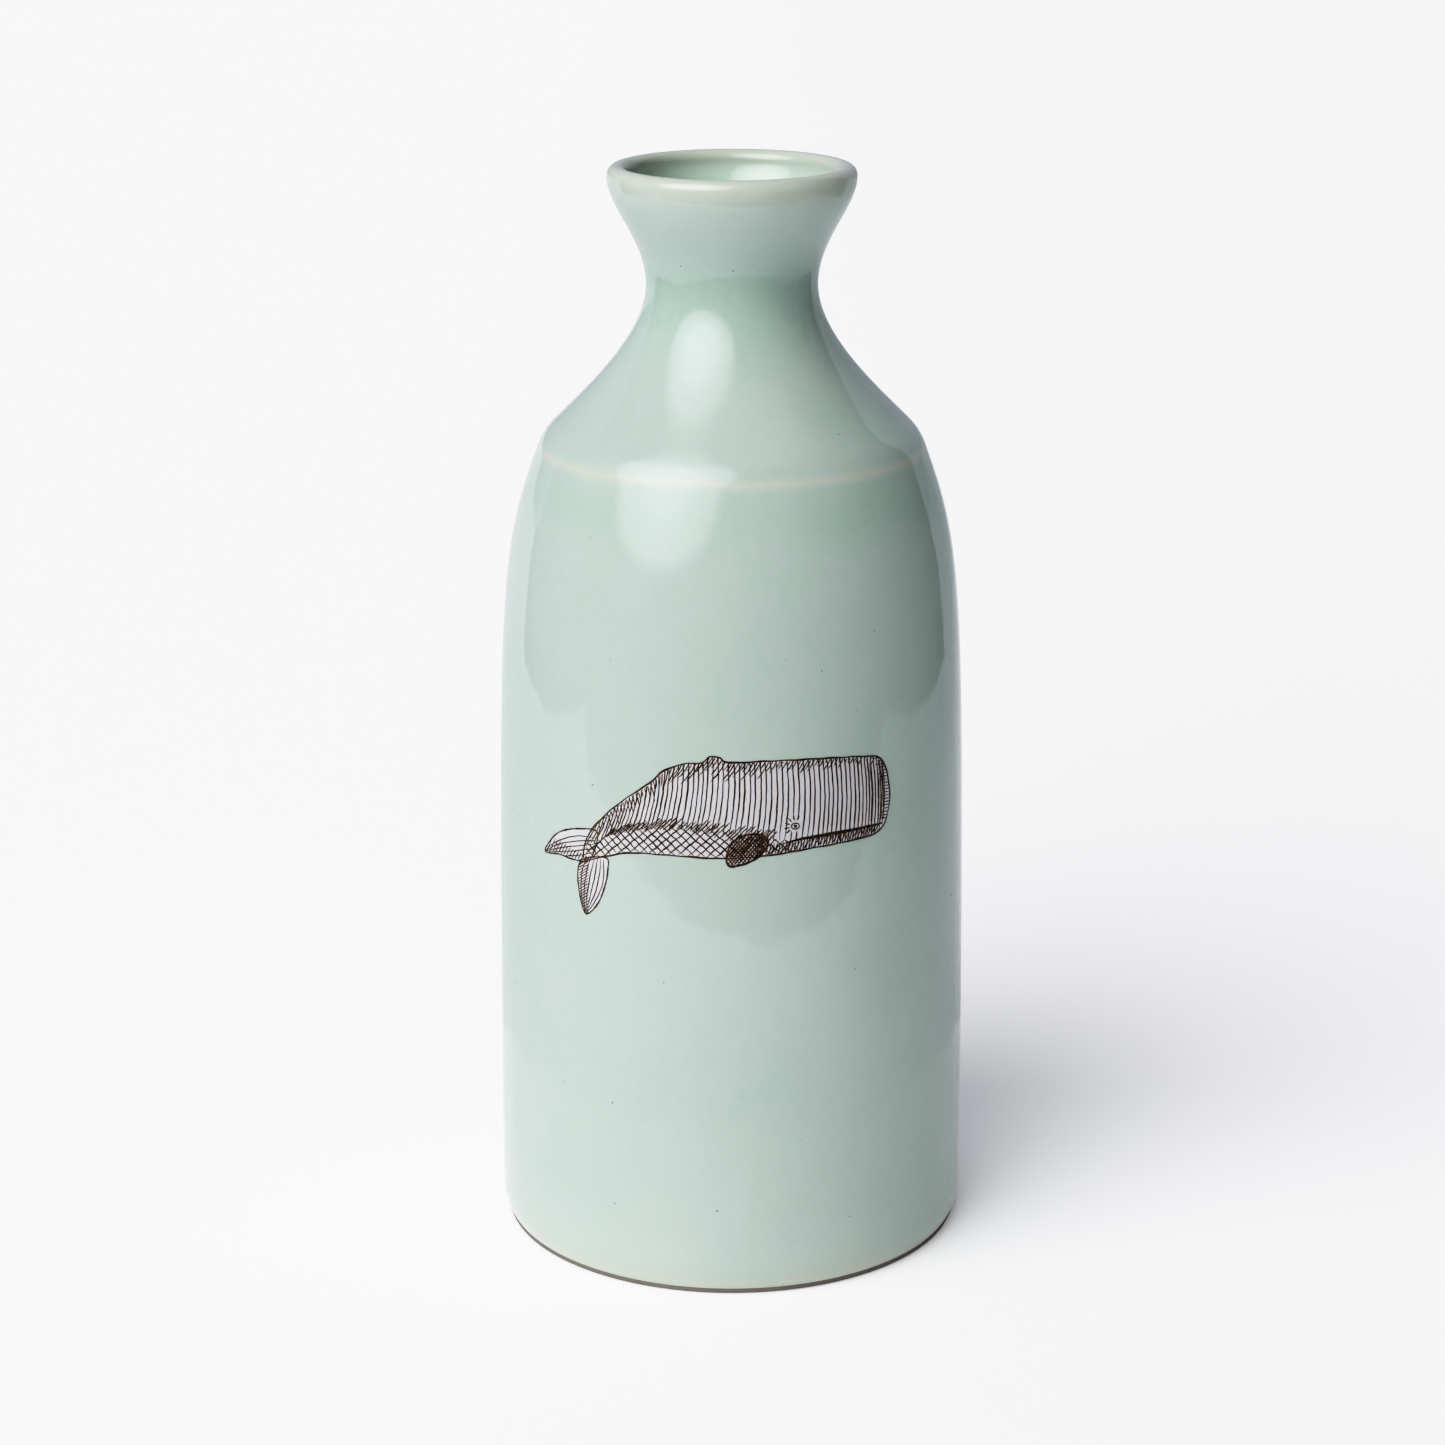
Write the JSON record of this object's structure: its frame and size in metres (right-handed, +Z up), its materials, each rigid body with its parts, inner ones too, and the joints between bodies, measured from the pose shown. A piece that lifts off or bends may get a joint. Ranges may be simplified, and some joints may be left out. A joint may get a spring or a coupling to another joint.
{
  "type": "sake bottle",
  "caption": "Celadon-glazed stoneware sake bottle with a cone shoulder, narrow neck, flared mouth and an engraved whale printed on the front.",
  "frame": {"origin": "middle of the foot ring, on the surface the bottle stands on", "axes": "+Z up along the bottle's axis towards the mouth, -Y towards the printed whale, +X to the right when the whale faces the viewer"},
  "size_m": [0.074, 0.074, 0.1678],
  "materials": {
    "bare_foot": "bare fired stoneware, wiped clean of glaze",
    "stoneware_body": "pale fired stoneware under the glaze",
    "celadon_glaze": "glossy pale sea-green celadon, thinner and paler on edges",
    "transfer_underprint": "pale enamel fired into the glaze",
    "transfer_ink": "sepia-brown enamel lines fired into the glaze"
  },
  "bodies": {
    "root": {"foot_ring": "bare_foot", "lower_body": "stoneware_body", "shoulder_and_neck": "stoneware_body", "outer_glaze": "celadon_glaze", "inner_glaze": "celadon_glaze", "transfer_ground": "transfer_underprint", "transfer_lines": "transfer_ink"}
  },
  "joints": []
}
